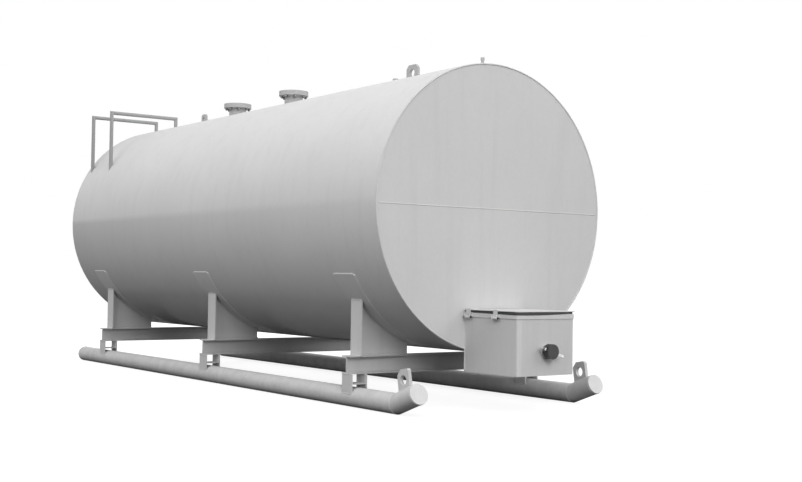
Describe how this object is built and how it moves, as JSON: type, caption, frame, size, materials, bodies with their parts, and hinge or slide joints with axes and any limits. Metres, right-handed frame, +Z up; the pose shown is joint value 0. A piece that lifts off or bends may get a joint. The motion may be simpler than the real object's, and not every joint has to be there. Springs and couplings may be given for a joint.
{
  "type": "horizontal cylindrical storage tank",
  "caption": "Horizontal cylindrical steel storage tank with flat ends, carried on cross beams over two pipe skid runners, with a lidded fill box on one end.",
  "frame": {"origin": "on the ground under the middle of the overall length, on the long middle plane", "axes": "+X along the tank to the head that carries the fill box, +Z up, -Y is the side with the handrail posts and the lid hinges"},
  "size_m": [7.394, 2.438, 3.0552],
  "materials": {
    "box_paint": "semi-gloss pale grey paint",
    "cap_plastic": "black moulded plastic",
    "coupling_metal": "cast, satin",
    "fitting_paint": "semi-gloss pale grey paint",
    "gasket_rubber": "matt black rubber",
    "head_paint": "semi-gloss pale grey paint",
    "hinge_steel": "dark plated steel",
    "pipe_paint": "semi-gloss pale grey paint",
    "shell_paint": "semi-gloss pale grey paint",
    "skid_paint": "semi-gloss pale grey paint"
  },
  "bodies": {
    "tank": {"box_gasket": "gasket_rubber", "box_rim": "box_paint", "crossbeam_front": "skid_paint", "crossbeam_middle": "skid_paint", "crossbeam_rear": "skid_paint", "fill_box": "box_paint", "fill_pipe": "pipe_paint", "front_head": "head_paint", "handrail_front": "fitting_paint", "handrail_rear": "fitting_paint", "hinge_brackets": "hinge_steel", "lifting_lugs": "fitting_paint", "nozzle_covers": "fitting_paint", "nozzles": "fitting_paint", "pull_eyes": "skid_paint", "rear_head": "head_paint", "runner_end_plates_left": "skid_paint", "runner_end_plates_right": "skid_paint", "runner_left": "skid_paint", "runner_right": "skid_paint", "runner_stubs_front": "skid_paint", "runner_stubs_middle": "skid_paint", "runner_stubs_rear": "skid_paint", "saddle_cheeks_front": "skid_paint", "saddle_cheeks_middle": "skid_paint", "saddle_cheeks_rear": "skid_paint", "saddle_webs_front": "skid_paint", "saddle_webs_middle": "skid_paint", "saddle_webs_rear": "skid_paint", "tank_shell": "shell_paint", "vent_stubs": "fitting_paint", "wear_plates_front": "skid_paint", "wear_plates_middle": "skid_paint", "wear_plates_rear": "skid_paint"},
    "lid": {"box_lid": "box_paint"},
    "cap": {"coupling_cap": "cap_plastic"},
    "lever_right": {"cam_lever_right": "coupling_metal"},
    "lever_left": {"cam_lever_left": "coupling_metal"}
  },
  "joints": [
    {"name": "lid_hinge", "type": "hinge", "parent": "tank", "child": "lid", "pos_m": [3.023, -0.3255, 0.77115], "axis": [1, 0, 0], "range_deg": [0, 110]},
    {"name": "cap_slide", "type": "slide", "parent": "tank", "child": "cap", "axis": [1, 0, 0], "range_m": [0, 0.09]},
    {"name": "lever_right_hinge", "type": "hinge", "parent": "cap", "child": "lever_right", "pos_m": [3.664, -0.06573, 0.54007], "axis": [0, -0.342, -0.9397], "range_deg": [0, 62]},
    {"name": "lever_left_hinge", "type": "hinge", "parent": "cap", "child": "lever_left", "pos_m": [3.664, 0.06573, 0.49223], "axis": [0, 0.342, 0.9397], "range_deg": [0, 62]}
  ]
}
